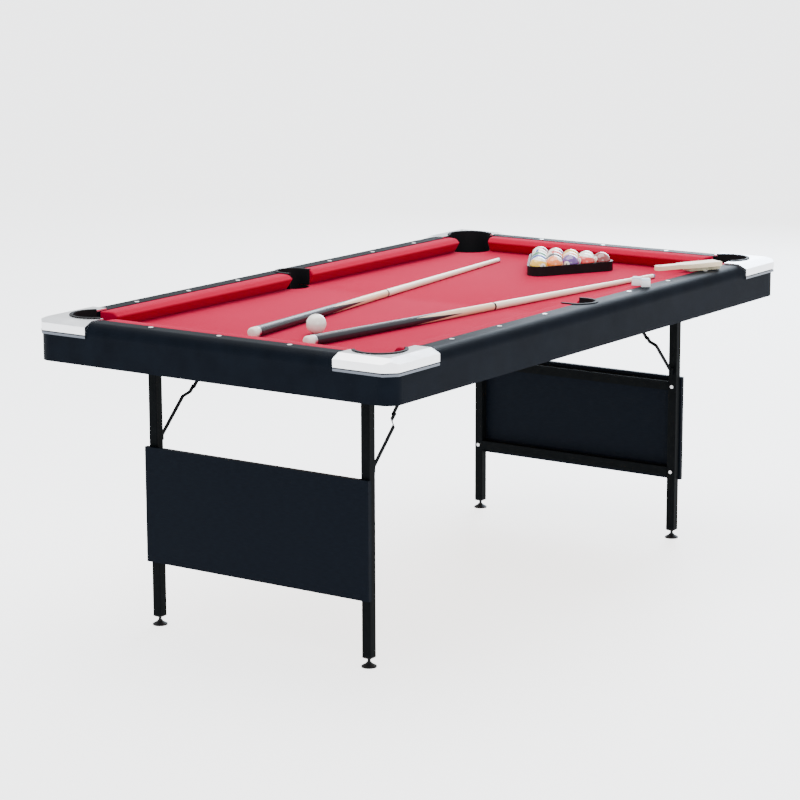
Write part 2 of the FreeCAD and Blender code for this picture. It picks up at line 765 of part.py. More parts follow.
def make_hangers():
    """Small U brackets under the board that hold the tops of the stays."""
    inside = bar_thick / 2 + ear_gap
    outside = inside + ear_thick
    low = hanger_z - bar_width / 2
    under = board_foot - hanger_plate
    hat = [(upper_y - outside, low), (upper_y - inside, low), (upper_y - inside, under),
           (upper_y + inside, under), (upper_y + inside, low), (upper_y + outside, low),
           (upper_y + outside, board_foot), (upper_y - outside, board_foot)]
    hanger = prism("brace_hanger", "YZ_Plane", hat, hanger_run, centred=True)
    bored(hanger, "XZ_Plane", [(0, hanger_z, pin_round)])
    place(hanger, hanger_x, 0, 0)
    pin = cylinder("hanger_pin", pin_round, outside * 2, (hanger_x, upper_y - outside, hanger_z), along="y")
    left = group("hanger_left", [hanger, pin])
    pair = both_sides("hanger_pair", left)
    keep(group("hangers", [pair, mirror("hanger_near", pair, ACROSS_X)]), "brace_hangers")


# ---------------------------------------------------------------- leg frames
def bolt_heights():
    return [panel_low + cross_deep, panel_high - cross_deep]


def make_legs():
    """One square tube, drilled for the hinge rod and the panel's bolts."""
    foot = leg_foot_gap
    top = hinge_z + leg_over_pin
    near_x, far_x = leg_x - half_leg, leg_x + half_leg
    near_y, far_y = leg_y - half_leg, leg_y + half_leg
    tube = prism("leg_tube", "XY_Plane", [(near_x, near_y), (far_x, near_y), (far_x, far_y), (near_x, far_y)],
                 top - foot)
    rounded(tube, leg_edge, upright)
    place(tube, 0, 0, foot)
    bore = box("leg_bore", (near_x + leg_wall, near_y + leg_wall, foot),
               (far_x - leg_wall, far_y - leg_wall, top))
    rod_spot = (leg_x, near_y, hinge_z)
    rod_hole = cylinder("leg_rod_hole", rod_round + running_gap, leg_side, rod_spot, along="y")
    holes = [bore, rod_hole]
    for height in bolt_heights():
        holes.append(cylinder("leg_bolt_hole", bolt_round, leg_side, (near_x, leg_y, height), along="x"))
    far_and_near(both_sides("legs", cut("leg", tube, holes)), "legs")


def make_cross_tubes():
    inner = leg_y - half_leg
    near_x = leg_x - half_leg
    tubes = []
    for low in (cross_low, cross_high):
        high = low + cross_deep
        outside = box("cross_outside", (near_x, -inner, low), (leg_outer_x, inner, high))
        inside = box("cross_inside", (near_x + leg_wall, -inner, low + leg_wall),
                     (leg_outer_x - leg_wall, inner, high - leg_wall))
        tubes.append(cut("cross_tube", outside, [inside]))
    far_and_near(group("cross_tubes", tubes), "cross_tubes")


def make_panels():
    width = panel_half_width
    board = box("panel_board", (leg_outer_x, -width, panel_low),
                (leg_outer_x + panel_thick, width, panel_high))
    holes = []
    bolts = []
    for height in bolt_heights():
        for side in (-1, 1):
            y = leg_y * side
            holes.append(cylinder("panel_hole", bolt_round, bolt_bite, (leg_outer_x, y, height), along="x"))
            head_x = leg_x - half_leg - bolt_head_high
            shank_spot = (leg_x - half_leg, y, height)
            shank = cylinder("bolt_shank", bolt_round, leg_side + bolt_bite, shank_spot, along="x")
            head = cylinder("bolt_head", bolt_head, bolt_head_high, (head_x, y, height), along="x")
            bolts.append(fuse("bolt", [shank, head]))
    far_and_near(cut("panel", board, holes), "panel")
    far_and_near(group("bolts", bolts), "panel_bolts")


def make_plugs():
    """Plastic plugs in the ends of the legs, bored for the stems of the feet."""
    foot = leg_foot_gap - plug_neck
    flange = prism("plug_flange", "XY_Plane",
                   [(leg_x - half_leg, leg_y - half_leg), (leg_x + half_leg, leg_y - half_leg),
                    (leg_x + half_leg, leg_y + half_leg), (leg_x - half_leg, leg_y + half_leg)], plug_neck)
    bevelled(flange, plug_taper, lambda edge: edge.BoundBox.ZMax < 0.01)
    place(flange, 0, 0, foot)
    half = half_leg - leg_wall - plug_gap
    core = box("plug_core", (leg_x - half, leg_y - half, leg_foot_gap),
               (leg_x + half, leg_y + half, leg_foot_gap + plug_depth))
    bore = cylinder("plug_bore", stem_round + running_gap, plug_neck + plug_depth, (leg_x, leg_y, foot))
    plug = cut("plug", fuse("plug_whole", [flange, core]), [bore])
    far_and_near(both_sides("plugs", plug), "leg_plugs")


def make_brace_brackets():
    """U brackets on the inner faces of the legs with the pins of the stays."""
    inside = bar_thick / 2 + ear_gap
    outside = inside + ear_thick
    face = leg_x - half_leg
    tip = brace_foot_x - bar_width / 2
    back = face - ear_thick
    plan = [(face, leg_y - outside), (tip, leg_y - outside), (tip, leg_y - inside), (back, leg_y - inside),
            (back, leg_y + inside), (tip, leg_y + inside), (tip, leg_y + outside), (face, leg_y + outside)]
    bracket = prism("brace_bracket", "XY_Plane", plan, bar_width * 2, centred=True)
    bored(bracket, "XZ_Plane", [(brace_foot_x, 0, pin_round)])
    place(bracket, 0, 0, brace_foot_z)
    pin_spot = (brace_foot_x, leg_y - outside, brace_foot_z)
    pin = cylinder("bracket_pin", pin_round, outside * 2, pin_spot, along="y")
    far_and_near(both_sides("brace_brackets", group("brace_bracket_left", [bracket, pin])), "brace_brackets")


# ---------------------------------------------------------------- folding stays
def bar_body(label, outline):
    """A flat bar on edge with round ends, running along its own -X."""
    bar = prism(label, "XY_Plane", outline, bar_width, centred=True)
    x_low = bar.Tip.Shape.BoundBox.XMin
    x_high = bar.Tip.Shape.BoundBox.XMax
    at_end = lambda edge: min(abs(edge.CenterOfMass.x - x_low), abs(edge.CenterOfMass.x - x_high)) < 0.01
    rounded(bar, bar_width / 2 * eye_round, lambda edge: runs_along(edge, 0, 1, 0) and at_end(edge))
    return bar


def stay_placed(thing, x, y, z):
    """Turn a bar to the stay's slope and put its own origin on a pivot."""
    thing.Placement = FreeCAD.Placement(FreeCAD.Vector(), FreeCAD.Rotation(FreeCAD.Vector(0, 1, 0), 1))
    bind(thing, "Placement.Rotation.Angle", brace_angle)
    place(thing, x, y, z)


def rivet_half(label, x, y, z, head_y):
    """Half of the middle rivet: a shank through its own bar and a head on the bar's outer face."""
    shank = cylinder(label + "_shank", pin_round, bar_thick, (x, y - bar_thick / 2, z), along="y")
    head = cylinder(label + "_head", rivet_head, rivet_head_high, (x, head_y, z), along="y")
    return fuse(label, [shank, head])


def make_stays():
    half = bar_thick / 2
    eye = bar_width / 2
    inner = half - jog_side
    outer = -half - jog_side
    tail = -lower_length - eye
    start = jog_start - lower_length
    end = jog_end - lower_length
    outline = [(eye, half), (start, half), (end, inner), (tail, inner), (tail, outer), (end - half, outer),
               (start - half, -half), (eye, -half)]
    lower = bar_body("lower_bar", outline)
    bored(lower, "XZ_Plane", [(0, 0, pin_round + running_gap), (-lower_length, 0, pin_round)])
    stay_placed(lower, brace_foot_x, leg_y, brace_foot_z)

    middle_x = brace_foot_x - lower_length * brace_run / brace_open
    middle_z = brace_foot_z + lower_length * brace_rise / brace_open
    rivet = rivet_half("lower_rivet", middle_x, lower_end_y, middle_z, lower_end_y + half)
    keep_mirrored(group("lower_stay", [lower, rivet]), four("brace_lower"))

    tail = -upper_length - eye
    outline = [(eye, half), (tail, half), (tail, -half), (eye, -half)]
    upper = bar_body("upper_bar", outline)
    bored(upper, "XZ_Plane", [(0, 0, pin_round), (-upper_length, 0, pin_round + running_gap)])
    stay_placed(upper, middle_x, upper_y, middle_z)
    rivet = rivet_half("upper_rivet", middle_x, upper_y, middle_z, upper_y - half - rivet_head_high)
    keep_mirrored(group("upper_stay", [upper, rivet]), four("brace_upper"))


# ---------------------------------------------------------------- levelling feet
def make_feet():
    cone = foot_rim + foot_cone
    hub = stem_round + foot_hub
    outline = [(0, 0), (foot_round, 0), (foot_round, foot_rim), (hub, cone - foot_hub_edge), (hub, cone),
               (stem_round, cone), (stem_round, stem_top), (0, stem_top)]
    foot = turned("foot", outline)
    place(foot, leg_x, leg_y, 0)
    keep_mirrored(foot, four("foot"))


# ---------------------------------------------------------------- the playing set
def cue_part(label, outline, x, y, turn):
    """A turned part of a cue, laid on the bed so that its thick and thin ends both touch."""
    part = turned(label, outline)
    tilt = math.degrees(math.atan2(cue_butt_round.value - cue_tip_round.value, cue_length.value))
    lay = FreeCAD.Rotation(FreeCAD.Vector(0, 1, 0), 90 + tilt)
    swing = FreeCAD.Rotation(FreeCAD.Vector(0, 0, 1), turn)
    part.Placement = FreeCAD.Placement(FreeCAD.Vector(), swing * lay)
    place(part, x, y, cloth_top + cue_butt_round + rest_gap)
    return part


def make_cues():
    butt = [(0, 0), (cue_butt_round - cue_edge, 0), (cue_butt_round, cue_edge_long),
            (cue_joint_round, cue_joint), (0, cue_joint)]
    shaft = [(0, cue_joint), (cue_joint_round, cue_joint), (cue_tip_round, cue_length - cue_edge_long),
             (cue_tip_round - cue_edge, cue_length), (0, cue_length)]
    for side, inset, y, turn in (("left", cue_left_inset, cue_left_y, cue_turn.value),
                                 ("right", cue_right_inset, cue_right_y, -cue_turn.value)):
        x = inset - nose_x
        keep(cue_part(f"cue_{side}_butt_body", butt, x, y, turn), f"cue_{side}_butt")
        keep(cue_part(f"cue_{side}_shaft_body", shaft, x, y, turn), f"cue_{side}_shaft")


def ball(label, x, y):
    thing = doc.addObject("Part::Sphere", label)
    bind(thing, "Radius", ball_round)
    place(thing, x, y, cloth_top + ball_round + rest_gap)
    return thing


def make_balls_and_rack():
    keep(ball("white_ball", cue_ball_inset - nose_x, cue_ball_y), "cue_ball")
    pitch = ball_round * 2 + ball_gap
    rack_x = nose_x - rack_inset
    row_step = pitch * math.sqrt(3) / 2
    balls = []
    for row in range(5):
        for place_in_row in range(row + 1):
            balls.append(ball("ball", rack_x + row_step * row, rack_y + pitch * (place_in_row - row / 2)))
    keep(group("balls", balls), "object_balls")

    middle = rack_x + row_step * 8 / 3
    rings = []
    for name, radius in (("outside", ball_round + rack_gap + rack_wall), ("inside", ball_round + rack_gap)):
        reach = pitch * 4 / math.sqrt(3) + radius * 2
        back = reach / 2
        half = reach * math.sqrt(3) / 2
        ring = prism("rack_" + name, "XY_Plane", [(-reach, 0), (back, -half), (back, half)], rack_height)
        rounded(ring, radius, upright)
        place(ring, middle, rack_y, cloth_top + rest_gap)
        rings.append(ring)
    keep(cut("rack", rings[0], [rings[1]]), "triangle_rack")


def lay_turned(thing, x, y, z, angle):
    """Put a thing's own origin at a spot, turned about the vertical."""
    turn = FreeCAD.Rotation(FreeCAD.Vector(0, 0, 1), angle)
    thing.Placement = FreeCAD.Placement(FreeCAD.Vector(), turn)
    place(thing, x, y, z)


def make_chalk():
    """Two chalk cubes side by side on the right rail, set askew."""
    low = rail_top + rest_gap
    half = chalk_side / 2
    cubes = []
    for number in range(2):
        corners = [(-half, -half), (half, -half), (half, half), (-half, half)]
        cube = prism("chalk", "XY_Plane", corners, chalk_side)
        x = play_length / 8 + chalk_past + chalk_pitch * number
        y = chalk_step * number - nose_y - chalk_out
        lay_turned(cube, x, y, low, (chalk_turn - chalk_turn_step * number).value)
        cubes.append(cube)
    keep(group("chalk_pair", cubes), "chalk_cubes")


def make_brush():
    """A table brush lying across the right cushion and rail, bristles down."""
    low = rail_top + sight_thick + rest_gap
    brush_x = nose_x - brush_inset_x
    brush_y = brush_inset_y - nose_y
    grip = brush_grip / 2
    head = brush_head / 2
    plan = [(0, -grip), (brush_neck, -grip), (brush_shoulder, -head), (brush_length, -head),
            (brush_length, head), (brush_shoulder, head), (brush_neck, grip), (0, grip)]
    handle = prism("handle", "XY_Plane", plan, brush_thick)
    rounded(handle, brush_end_round, lambda edge: upright(edge) and edge.CenterOfMass.x < 0.01)
    bored(handle, "XY_Plane", [(brush_hole_in, 0, brush_hole)])
    lay_turned(handle, brush_x, brush_y, low + bristle_height, brush_turn.value)
    keep(handle, "brush_handle")
    side = head - bristle_inset
    end = brush_length - bristle_inset
    tuft = [(brush_shoulder, -side), (end, -side), (end, side), (brush_shoulder, side)]
    bristles = prism("bristles", "XY_Plane", tuft, bristle_height)
    lay_turned(bristles, brush_x, brush_y, low, brush_turn.value)
    keep(bristles, "brush_bristles")


# ---------------------------------------------------------------- build, check and write
make_bed()
make_rails()
make_caps()
make_sights()
make_cushions()
make_pockets()
make_hinges()
make_hangers()
make_legs()
make_cross_tubes()
make_panels()
make_plugs()
make_brace_brackets()
make_stays()
make_feet()
make_cues()
make_balls_and_rack()
make_chalk()
make_brush()
doc.recompute()

for thing in doc.Objects:
    if "Invalid" in thing.State or "Error" in thing.State:
        raise RuntimeError(f"{thing.Label} did not build: {thing.State}")
for node in nodes:
    if node.Shape.isNull() or not node.Shape.isValid() or not node.Shape.Solids:
        raise RuntimeError(f"{node.Label} has no sound shape")

os.makedirs("parts", exist_ok=True)
for node in nodes:
    node.Shape.exportStep(f"parts/{node.Label}.step")
print(len(nodes), "pieces written")
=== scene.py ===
import math

import bmesh
import bpy
import numpy as np
from mathutils import Matrix, Vector


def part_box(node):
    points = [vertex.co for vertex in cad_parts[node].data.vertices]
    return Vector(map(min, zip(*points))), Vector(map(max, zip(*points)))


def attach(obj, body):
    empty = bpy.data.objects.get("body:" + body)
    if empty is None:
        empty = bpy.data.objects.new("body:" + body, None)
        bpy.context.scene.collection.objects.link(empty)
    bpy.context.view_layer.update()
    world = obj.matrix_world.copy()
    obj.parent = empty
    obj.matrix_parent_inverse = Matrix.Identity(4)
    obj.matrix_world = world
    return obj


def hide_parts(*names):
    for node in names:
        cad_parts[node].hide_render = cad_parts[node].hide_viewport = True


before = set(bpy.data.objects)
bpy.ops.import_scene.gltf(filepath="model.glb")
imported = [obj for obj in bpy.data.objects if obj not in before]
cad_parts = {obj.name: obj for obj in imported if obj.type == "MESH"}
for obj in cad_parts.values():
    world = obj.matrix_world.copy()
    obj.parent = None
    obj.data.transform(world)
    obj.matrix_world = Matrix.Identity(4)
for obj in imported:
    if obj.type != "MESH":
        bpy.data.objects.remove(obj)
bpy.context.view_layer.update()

# Looks of a folding pool table and its playing set. Lengths are in metres, in the table's own
# frame: +X to the far end, +Y to the left side, +Z up.

FAR_NEAR = ("far", "near")
LEFT_RIGHT = ("left", "right")
CORNERS = [f"{end}_{side}" for end in FAR_NEAR for side in LEFT_RIGHT]


# ---------------------------------------------------------------- finishes
class Field:
    """A value that varies over a finish. Arithmetic on it adds the Math nodes."""

    def __init__(self, finish, socket):
        self.finish = finish
        self.socket = socket

    def math(self, operation, *values, clamp=False):
        settings = {"operation": operation, "use_clamp": clamp}
        return self.finish.node("ShaderNodeMath", settings, dict(enumerate(values)))

    def __add__(self, other):
        return self.math("ADD", self, other)

    def __sub__(self, other):
        return self.math("SUBTRACT", self, other)

    def __rsub__(self, other):
        return self.math("SUBTRACT", other, self)

    def __mul__(self, other):
        return self.math("MULTIPLY", self, other)

    def __truediv__(self, other):
        return self.math("DIVIDE", self, other)

    def __mod__(self, other):
        return self.math("FLOORED_MODULO", self, other)

    def __gt__(self, other):
        return self.math("GREATER_THAN", self, other)

    def __lt__(self, other):
        return self.math("LESS_THAN", self, other)

    def __abs__(self):
        return self.math("ABSOLUTE", self)

    __radd__ = __add__
    __rmul__ = __mul__

    def wave(self):
        return self.math("SINE", self)

    def clamped(self):
        return self.math("ADD", self, 0.0, clamp=True)

    def root(self):
        return self.math("SQRT", self)


class Finish:
    """A procedural material. Fixed values go straight on the shader's own sockets."""

    def __init__(self, name, **fixed):
        self.material = bpy.data.materials.new(name)
        self.material.use_nodes = True
        self.tree = self.material.node_tree
        self.shader = self.tree.nodes["Principled BSDF"]
        for socket, value in fixed.items():
            self.shader.inputs[socket.replace("_", " ")].default_value = value
        self.place = self.node("ShaderNodeTexCoord", output="Object")
        self.x = self.node("ShaderNodeSeparateXYZ", {}, {0: self.place}, "X")
        self.y = self.node("ShaderNodeSeparateXYZ", {}, {0: self.place}, "Y")
        self.z = self.node("ShaderNodeSeparateXYZ", {}, {0: self.place}, "Z")

    def node(self, kind, settings=None, inputs=None, output=0):
        """Add a node: its settings first, then the values or fields of its sockets."""
        node = self.tree.nodes.new(kind)
        for name, value in (settings or {}).items():
            setattr(node, name, value)
        for name, value in (inputs or {}).items():
            self.plug(node.inputs[name], value)
        return Field(self, node.outputs[output])

    def plug(self, socket, value):
        if isinstance(value, Field):
            self.tree.links.new(value.socket, socket)
        else:
            socket.default_value = value

    def noise(self, scale, detail=2.0, stretch=(1, 1, 1)):
        settings = {"operation": "MULTIPLY"}
        place = self.node("ShaderNodeVectorMath", settings, {0: self.place, 1: stretch})
        inputs = {"Vector": place, "Scale": scale, "Detail": detail}
        return self.node("ShaderNodeTexNoise", {}, inputs, "Fac")

    def cells(self, scale, output="Distance"):
        inputs = {"Vector": self.place, "Scale": scale}
        return self.node("ShaderNodeTexVoronoi", {}, inputs, output)

    def mix(self, share, first, second):
        """A colour between two, by a share from 0 to 1."""
        inputs = {0: share, 6: first, 7: second}
        return self.node("ShaderNodeMix", {"data_type": "RGBA"}, inputs, 2)

    def coloured(self, value):
        self.plug(self.shader.inputs["Base Color"], value)

    def rough(self, value):
        self.plug(self.shader.inputs["Roughness"], value)

    def raised(self, height, depth):
        """Relief of that depth in metres."""
        inputs = {"Height": height, "Distance": depth}
        bump = self.node("ShaderNodeBump", {}, inputs, "Normal")
        self.plug(self.shader.inputs["Normal"], bump)


def rgb(red, green, blue):
    return (red, green, blue, 1.0)


def table_cloth(name, thread=0.0011):
    """Woven red table cloth with a short nap."""
    cloth = Finish(name, Sheen_Weight=0.06, Sheen_Roughness=0.40, Sheen_Tint=rgb(1.0, 0.30, 0.70),
                   Specular_IOR_Level=0.04)
    turns = 2 * math.pi / thread
    warp = ((cloth.x + cloth.z) * turns).wave()
    weft = ((cloth.y + cloth.z) * turns).wave()
    nap = cloth.noise(700, 3)
    wear = cloth.noise(5, 3)
    shade = (nap * 0.6 + wear * 0.4).clamped()
    cloth.coloured(cloth.mix(shade, rgb(0.30, 0.0003, 0.018), rgb(0.42, 0.0006, 0.034)))
    cloth.rough(0.78 + nap * 0.15)
    cloth.raised(warp * weft * 0.5 + nap, 0.00012)
    return cloth


def black_foil(name, grain=(1, 1, 1)):
    """Black satin foil over board: a fine pebble, faint grain and handling marks."""
    foil = Finish(name, IOR=1.07)
    pebble = foil.noise(1400, 2)
    figure = foil.noise(9, 5, grain)
    hands = foil.noise(7, 3)
    foil.coloured(foil.mix(figure, rgb(0.0016, 0.0024, 0.0040), rgb(0.0045, 0.0065, 0.0105)))
    foil.rough(0.34 + hands * 0.14 + pebble * 0.06)
    foil.raised(pebble + figure * 0.6, 0.00006)
    return foil


# Heights on the caps below which shade is painted into the colour: first the groove, then the lower band.
CAP_GROOVE_TOP = 0.7726
CAP_BAND_TOP = 0.7699


def bright_plate(name):
    """Bright plated corner caps with faint wipe marks, and painted shade: near-black in the groove and
    grey on the lower band.
    """
    plate = Finish(name, Metallic=1.0)
    wipe = plate.noise(22, 4, (1, 1, 3))
    grain = plate.noise(1800, 2, (1, 1, 6))
    bright = plate.mix(wipe, rgb(0.74, 0.75, 0.77), rgb(0.92, 0.93, 0.95))
    # Painted shade: near-black in the groove, and a grey painted shade on the band below it.
    painted_shade_below = plate.mix(plate.z < CAP_BAND_TOP, rgb(0.012, 0.012, 0.014), rgb(0.10, 0.11, 0.13))
    plate.coloured(plate.mix(plate.z < CAP_GROOVE_TOP, bright, painted_shade_below))
    plate.rough(0.13 + wipe * 0.16 + grain * 0.04)
    plate.raised(grain + plate.noise(30, 2) * 3, 0.00003)
    return plate


def moulded_plastic(name, colour, gloss=0.5):
    """Moulded plastic with a spark-eroded texture."""
    plastic = Finish(name, Specular_IOR_Level=0.12)
    grit = plastic.noise(1600, 3)
    flow = plastic.noise(14, 3)
    lighter = tuple(min(1.0, part * 1.4 + 0.002) for part in colour)
    plastic.coloured(plastic.mix(flow, rgb(*colour), rgb(*lighter)))
    plastic.rough(gloss + grit * 0.12 + flow * 0.06)
    plastic.raised(grit, 0.00008)
    return plastic


def powder_coat(name):
    """Satin black powder coat with orange peel."""
    coat = Finish(name, IOR=1.06)
    peel = coat.noise(480, 2)
    dust = coat.noise(60, 4)
    coat.coloured(coat.mix(dust, rgb(0.0014, 0.0018, 0.0022), rgb(0.0040, 0.0048, 0.0054)))
    coat.rough(0.34 + dust * 0.12)
    coat.raised(peel, 0.00010)
    return coat


def zinc_plate(name):
    """Zinc plate with its spangle and a little tarnish."""
    zinc = Finish(name, Metallic=1.0)
    spangle = zinc.cells(420)
    tarnish = zinc.noise(90, 4)
    zinc.coloured(zinc.mix(tarnish, rgb(0.42, 0.42, 0.40), rgb(0.66, 0.67, 0.70)))
    zinc.rough(0.24 + spangle * 0.20 + tarnish * 0.12)
    zinc.raised(spangle, 0.00004)
    return zinc


def fibreboard(name):
    """Raw fibreboard: fine fibres and darker flecks."""
    board = Finish(name)
    fibre = board.noise(260, 5)
    fleck = (board.cells(900) < 0.25) * 0.5
    shade = (fibre + fleck * 0.4).clamped()
    board.coloured(board.mix(shade, rgb(0.24, 0.15, 0.080), rgb(0.46, 0.33, 0.20)))
    board.rough(0.80 + fibre * 0.15)
    board.raised(fibre, 0.0002)
    return board


def sawn_wood(name, dark, light, stretch, gloss=0.6):
    """Straight-grained wood: growth rings, pores and a little sheen."""
    wood = Finish(name)
    drift = wood.noise(16, 3, stretch)
    rings = (drift * 60).wave() * 0.5 + 0.5
    pores = wood.noise(240, 3, stretch)
    wood.coloured(wood.mix((rings * 0.55 + pores * 0.35).clamped(), rgb(*dark), rgb(*light)))
    wood.rough(gloss + pores * 0.2)
    wood.raised(pores + rings * 0.4, 0.00008)
    return wood


def pearl_inlay(name):
    """Pearly rail sights."""
    pearl = Finish(name, Coat_Weight=0.6, Coat_Roughness=0.05)
    cloud = pearl.noise(240, 4)
    pearl.coloured(pearl.mix(cloud, rgb(0.70, 0.72, 0.74), rgb(0.95, 0.93, 0.88)))
    pearl.rough(0.18 + cloud * 0.15)
    pearl.raised(cloud, 0.00003)
    return pearl


SPLICE_POINTS = 4
EDGE_SHARPNESS = 1500
BALL_EDGE_SHARPNESS = 6000


def splice(finish, from_butt, length):
    """The share that is past the pointed splice, along a cue's own axis."""
    turn = finish.node("ShaderNodeMath", {"operation": "ARCTAN2"}, {0: finish.y, 1: finish.x})
    side = abs((turn * (SPLICE_POINTS / (2 * math.pi)) + 0.5) % 1.0 - 0.5) * 2
    edge = from_butt + (1 - side) * length
    return ((finish.z - edge) * EDGE_SHARPNESS + 0.5).clamped()


def cue_butt_lacquer(name):
    """Black butt with long points let into maple, under clear lacquer."""
    lacquer = Finish(name, Coat_Weight=0.30, Coat_Roughness=0.12, Specular_IOR_Level=0.20)
    grain = lacquer.noise(130, 4, (1, 1, 0.03))
    maple = lacquer.mix(grain, rgb(0.66, 0.46, 0.27), rgb(0.88, 0.70, 0.48))
    ebony = lacquer.mix(grain, rgb(0.006, 0.006, 0.010), rgb(0.022, 0.020, 0.026))
    past = splice(lacquer, 0.40, 0.185)
    veneer = splice(lacquer, 0.393, 0.180)
    lined = lacquer.mix(veneer, ebony, rgb(0.62, 0.56, 0.46))
    lacquer.coloured(lacquer.mix(past, lined, maple))
    lacquer.rough(0.28 + grain * 0.12)
    lacquer.raised(grain, 0.00003)
    return lacquer


def cue_maple(name):
    """Pale maple shaft, sealed and a little chalky towards the tip."""
    maple = Finish(name, Coat_Weight=0.35, Coat_Roughness=0.18)
    grain = maple.noise(150, 4, (1, 1, 0.02))
    chalky = ((maple.z - 1.15) * 4).clamped() * maple.noise(60, 3)
    wood = maple.mix(grain, rgb(0.80, 0.64, 0.46), rgb(0.94, 0.84, 0.68))
    maple.coloured(maple.mix(chalky * 0.35, wood, rgb(0.55, 0.66, 0.78)))
    maple.rough(0.32 + grain * 0.16)
    maple.raised(grain, 0.00004)
    return maple


def ball_resin(name, colour, striped, numbered=True):
    """Polished resin ball: a solid or banded colour and a white number spot on both sides."""
    resin = Finish(name, Coat_Weight=1.0, Coat_Roughness=0.02, IOR=1.55)
    swirl = resin.noise(60, 3)
    ivory = resin.mix(swirl, rgb(0.80, 0.77, 0.66), rgb(0.88, 0.86, 0.78))
    tint = resin.mix(swirl, rgb(*colour), rgb(*(part * 0.86 for part in colour)))
    if striped:
        outside = ((abs(resin.z) - BALL_BAND) * BALL_EDGE_SHARPNESS + 0.5).clamped()
        tint = resin.mix(outside, tint, ivory)
    if numbered:
        from_middle = (resin.y * resin.y + resin.z * resin.z).root()
        off_spot = ((from_middle - BALL_SPOT) * BALL_EDGE_SHARPNESS + 0.5).clamped()
        tint = resin.mix(off_spot, ivory, tint)
    resin.coloured(tint)
    resin.rough(0.06 + swirl * 0.05)
    return resin


def paint(nodes, finish):
    """Give CAD pieces their finish."""
    for name in nodes:
        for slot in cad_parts[name].material_slots:
            slot.material = finish.material


def named(pattern):
    return [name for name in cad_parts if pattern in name]


# ---------------------------------------------------------------- mesh building
def placed(name, data):
    """A new object of that name, in the scene."""
    thing = bpy.data.objects.new(name, data)
    bpy.context.scene.collection.objects.link(thing)
    return thing


def piece(name, points, faces, finish, body, place=Matrix.Identity(4), smooth_below=40):
    """A new piece from its points and faces, smooth where its faces meet gently."""
    mesh = bpy.data.meshes.new(name)
    mesh.from_pydata([tuple(point) for point in points], [], faces)
    mesh.validate()
    build = bmesh.new()
    build.from_mesh(mesh)
    bmesh.ops.remove_doubles(build, verts=build.verts, dist=1e-6)
    bmesh.ops.recalc_face_normals(build, faces=build.faces)
    build.to_mesh(mesh)
    build.free()
    mesh.shade_smooth()
    mesh.set_sharp_from_angle(angle=math.radians(smooth_below))
    mesh.materials.append(finish.material)
    thing = placed(name, mesh)
    thing.matrix_world = place
    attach(thing, body)
    return thing


def ring_faces(rings, around):
    """Quads between rings of points, closed round and open along."""
    faces = []
    for ring in range(rings - 1):
        for step in range(around):
            following = (step + 1) % around
            a = ring * around
            b = a + around
            faces.append((a + step, a + following, b + following, b + step))
    return faces


def tube_faces(rings, around):
    """The same quads, and a face over each end."""
    faces = ring_faces(rings, around)
    faces.append(tuple(range(around)))
    last = (rings - 1) * around
    faces.append(tuple(range(last + around - 1, last - 1, -1)))
    return faces


def turned(name, outline, finish, body, place, around=56):
    """A turned piece: outline holds (height, radius) pairs along its own Z, from foot to top."""
    points = []
    for height, radius in outline:
        for step in range(around):
            angle = 2 * math.pi * step / around
            points.append((radius * math.cos(angle), radius * math.sin(angle), height))
    return piece(name, points, tube_faces(len(outline), around), finish, body, place)


def arc(middle, radius, start, end, steps):
    """Points along an arc in a plane, angles in degrees."""
    spots = []
    for step in range(steps + 1):
        angle = math.radians(start + (end - start) * step / steps)
        spots.append((middle[0] + radius * math.cos(angle), middle[1] + radius * math.sin(angle)))
    return spots


# ---------------------------------------------------------------- bed cloth
CORNER_CUP = 0.0615
SIDE_CUP = 0.0450
HOLE_GAP = 0.0003
HOLE_STEPS = 72


def outermost(low, high, axis, reach):
    """That far in from the box's outer side, towards the middle of the table."""
    if low[axis] + high[axis] > 0:
        return high[axis] - reach
    return low[axis] + reach


def pocket_spots():
    """Middle and hole of each pocket, from the pockets' own boxes."""
    spots = []
    for corner in CORNERS:
        low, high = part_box(f"corner_pocket_{corner}")
        x, y = (outermost(low, high, axis, CORNER_CUP) for axis in (0, 1))
        spots.append((Vector((x, y, 0)), CORNER_CUP + HOLE_GAP))
    for side in LEFT_RIGHT:
        low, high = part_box(f"side_pocket_{side}")
        y = outermost(low, high, 1, SIDE_CUP)
        spots.append((Vector((0, y, 0)), SIDE_CUP + HOLE_GAP))
    return spots


